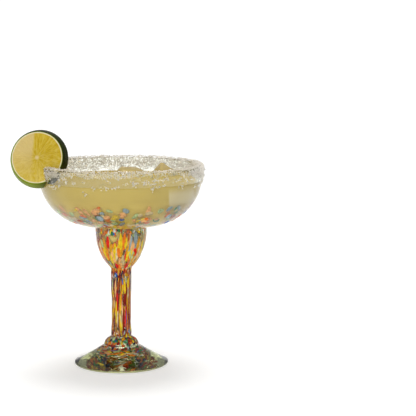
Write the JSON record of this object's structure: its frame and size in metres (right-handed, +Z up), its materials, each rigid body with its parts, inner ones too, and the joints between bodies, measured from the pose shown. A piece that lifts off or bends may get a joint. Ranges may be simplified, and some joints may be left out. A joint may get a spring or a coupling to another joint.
{
  "type": "margarita cocktail in a hand-blown confetti glass",
  "caption": "Margarita in a wide stemmed glass of clear glass flecked with coloured chips, with a salted rim and a lime wheel.",
  "frame": {"origin": "centre of the foot's underside, on the table", "axes": "+Z up along the stem, +X to the right and the lime wheel at -X turned to -Y, the front"},
  "size_m": [0.1546, 0.1367, 0.1919],
  "materials": {
    "confetti_glass": "polished clear glass with a faint olive tint and fused chips of coloured glass",
    "drink": "cloudy pale gold liquid",
    "lime": "moist cut flesh in a waxy dark green rind",
    "salt": "coarse white crystals"
  },
  "bodies": {
    "root": {"glass": "confetti_glass", "drink": "drink", "lime_wheel": "lime", "salt_rim": "salt"}
  },
  "joints": []
}
